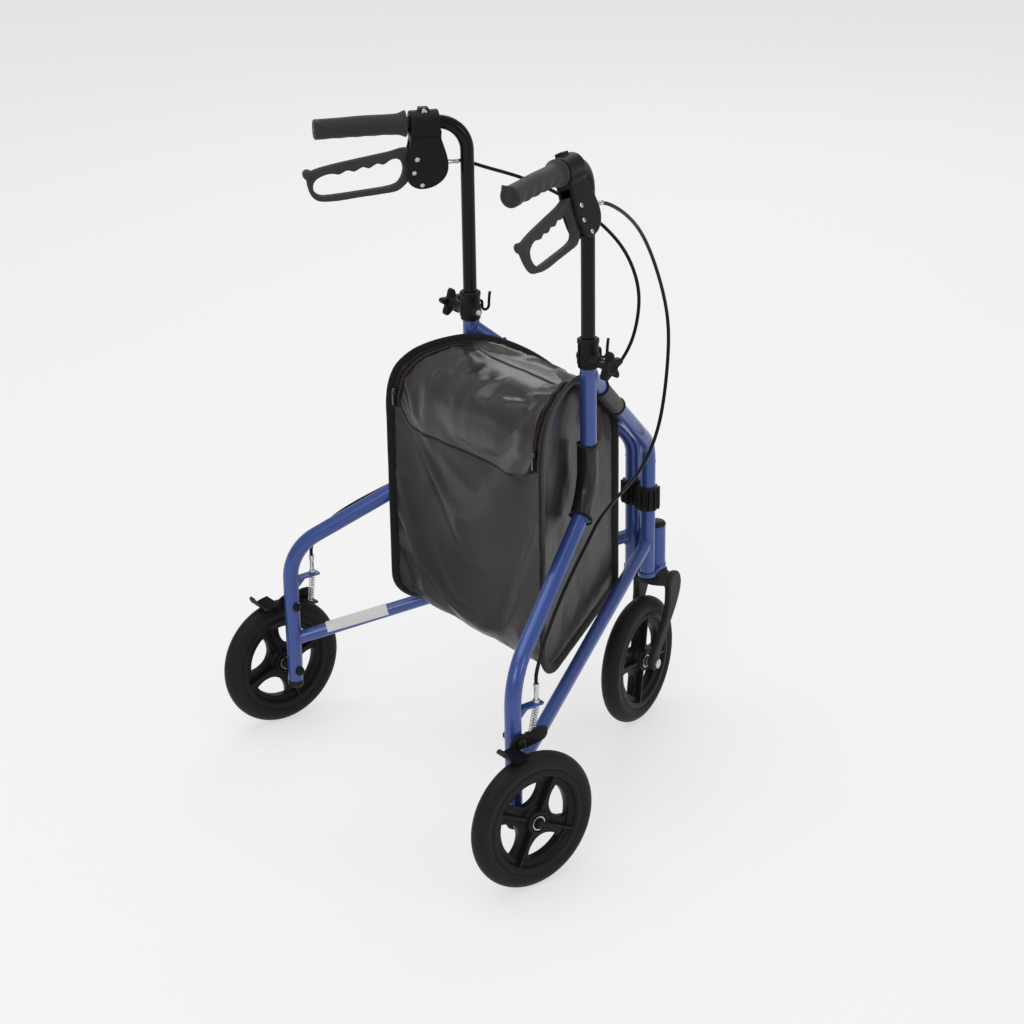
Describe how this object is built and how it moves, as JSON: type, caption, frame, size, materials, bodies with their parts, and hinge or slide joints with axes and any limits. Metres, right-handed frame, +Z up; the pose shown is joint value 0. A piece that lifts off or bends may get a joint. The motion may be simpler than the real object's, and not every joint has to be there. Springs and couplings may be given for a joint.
{
  "type": "folding tri-wheel walker",
  "caption": "Folding three-wheeled walker with loop brake levers, height-set handles, swivel front wheel and a hanging vinyl bag.",
  "frame": {"origin": "on the floor under the middle of the bounding box", "axes": "+Z up, +Y the way the walker travels, +X to the user's right"},
  "size_m": [0.6508, 0.5939, 0.9215],
  "materials": {
    "frame_paint": "gloss mid-blue enamel",
    "handle_gloss": "gloss black enamel",
    "black_plastic": "satin black moulding",
    "fork_plastic": "satin charcoal",
    "lever_plastic": "matt dark grey",
    "grip_rubber": "matt dark grey",
    "tyre": "matt charcoal",
    "zinc": "bright zinc plate",
    "brake_steel": "satin black",
    "cable_black": "satin black jacket",
    "bag_vinyl": "semi-gloss grained vinyl",
    "bag_fabric": "black woven binding"
  },
  "bodies": {
    "column": {"head_bracket": "frame_paint", "head_cap": "black_plastic", "bag_body": "bag_vinyl"},
    "flap": {"bag_flap": "bag_vinyl"},
    "caster": {"fork": "fork_plastic", "caster_stem": "zinc", "front_axle": "zinc"},
    "wheel_front": {"rim_front": "black_plastic", "tyre_front": "tyre"},
    "frame_right": {"main_tube_right": "frame_paint", "front_tube_right": "frame_paint", "lower_tube_right": "frame_paint", "leg_plug_right": "black_plastic", "post_sleeve_right": "bag_fabric", "fold_gear_right": "black_plastic", "collar_right": "black_plastic", "hook_right": "black_plastic", "cable_tab_right": "frame_paint", "cable_adjuster_right": "zinc", "brake_wire_right": "zinc", "brake_spring_right": "zinc", "brake_bolt_right": "zinc", "axle_bolt_right": "zinc", "brake_cable_right": "cable_black"},
    "handle_right": {"handle_tube_right": "handle_gloss", "grip_right": "grip_rubber", "brake_housing_right": "black_plastic", "lever_pin_right": "zinc"},
    "lever_right": {"brake_lever_right": "lever_plastic"},
    "brake_right": {"brake_arm_right": "brake_steel"},
    "knob_body_right": {"knob_right": "black_plastic"},
    "wheel_right": {"rim_right": "black_plastic", "tyre_right": "tyre"},
    "frame_left": {"main_tube_left": "frame_paint", "front_tube_left": "frame_paint", "lower_tube_left": "frame_paint", "leg_plug_left": "black_plastic", "post_sleeve_left": "bag_fabric", "fold_gear_left": "black_plastic", "collar_left": "black_plastic", "hook_left": "black_plastic", "cable_tab_left": "frame_paint", "cable_adjuster_left": "zinc", "brake_wire_left": "zinc", "brake_spring_left": "zinc", "brake_bolt_left": "zinc", "axle_bolt_left": "zinc", "brake_cable_left": "cable_black"},
    "handle_left": {"handle_tube_left": "handle_gloss", "grip_left": "grip_rubber", "brake_housing_left": "black_plastic", "lever_pin_left": "zinc"},
    "lever_left": {"brake_lever_left": "lever_plastic"},
    "brake_left": {"brake_arm_left": "brake_steel"},
    "knob_body_left": {"knob_left": "black_plastic"},
    "wheel_left": {"rim_left": "black_plastic", "tyre_left": "tyre"}
  },
  "joints": [
    {"name": "fold_right", "type": "hinge", "parent": "column", "child": "frame_right", "pos_m": [0.0165, 0.2302, 0.3], "axis": [0, 0, 1], "range_deg": [-25, 0], "deforming": ["bag_body", "bag_flap"]},
    {"name": "fold_left", "type": "hinge", "parent": "column", "child": "frame_left", "pos_m": [-0.0165, 0.2302, 0.3], "axis": [0, 0, 1], "range_deg": [0, 25]},
    {"name": "height_right", "type": "slide", "parent": "frame_right", "child": "handle_right", "axis": [0, 0, 1], "range_m": [-0.07, 0.03], "deforming": ["brake_cable_right"]},
    {"name": "clamp_knob_right", "type": "hinge", "parent": "frame_right", "child": "knob_body_right", "pos_m": [0.13175, 0.03058, 0.63], "axis": [1, 0, 0], "continuous": true},
    {"name": "brake_lever_right", "type": "hinge", "parent": "handle_right", "child": "lever_right", "pos_m": [0.17613, -0.02722, 0.85489], "axis": [-0.8551, -0.3897, -0.342], "range_deg": [0, 14], "stiffness_Nm_per_rad": 0.6},
    {"name": "brake_arm_right", "type": "hinge", "parent": "frame_right", "child": "brake_right", "pos_m": [0.266, -0.20195, 0.197], "axis": [1, 0, 0], "range_deg": [0, 5.04], "stiffness_Nm_per_rad": 0.4, "deforming": ["brake_spring_right", "brake_wire_right"]},
    {"name": "wheel_spin_right", "type": "hinge", "parent": "frame_right", "child": "wheel_right", "pos_m": [0.3044, -0.20195, 0.095], "axis": [1, 0, 0], "continuous": true},
    {"name": "height_left", "type": "slide", "parent": "frame_left", "child": "handle_left", "axis": [0, 0, 1], "range_m": [-0.07, 0.03], "deforming": ["brake_cable_left"]},
    {"name": "clamp_knob_left", "type": "hinge", "parent": "frame_left", "child": "knob_body_left", "pos_m": [-0.13175, 0.03058, 0.63], "axis": [1, 0, 0], "continuous": true},
    {"name": "brake_lever_left", "type": "hinge", "parent": "handle_left", "child": "lever_left", "pos_m": [-0.16119, -0.03403, 0.852], "axis": [-0.91, 0.4147, 0], "range_deg": [0, 14], "stiffness_Nm_per_rad": 0.6},
    {"name": "brake_arm_left", "type": "hinge", "parent": "frame_left", "child": "brake_left", "pos_m": [-0.266, -0.20195, 0.197], "axis": [1, 0, 0], "range_deg": [0, 5.04], "stiffness_Nm_per_rad": 0.4, "deforming": ["brake_spring_left", "brake_wire_left"]},
    {"name": "wheel_spin_left", "type": "hinge", "parent": "frame_left", "child": "wheel_left", "pos_m": [-0.3044, -0.20195, 0.095], "axis": [1, 0, 0], "continuous": true},
    {"name": "caster_swivel", "type": "hinge", "parent": "column", "child": "caster", "pos_m": [0, 0.2602, 0.22], "axis": [0, 0, 1], "continuous": true},
    {"name": "wheel_spin_front", "type": "hinge", "parent": "caster", "child": "wheel_front", "pos_m": [0.02155, 0.20819, 0.095], "axis": [0.9239, 0.3827, 0], "continuous": true},
    {"name": "bag_flap_lift", "type": "hinge", "parent": "column", "child": "flap", "pos_m": [0, 0.0192, 0.594], "axis": [-1, 0, 0], "range_deg": [0, 70]}
  ],
  "couplings": [
    {"joint": "fold_left", "follows": "fold_right", "ratio": -1},
    {"joint": "brake_arm_right", "follows": "brake_lever_right", "ratio": 0.36},
    {"joint": "brake_arm_left", "follows": "brake_lever_left", "ratio": 0.36}
  ]
}
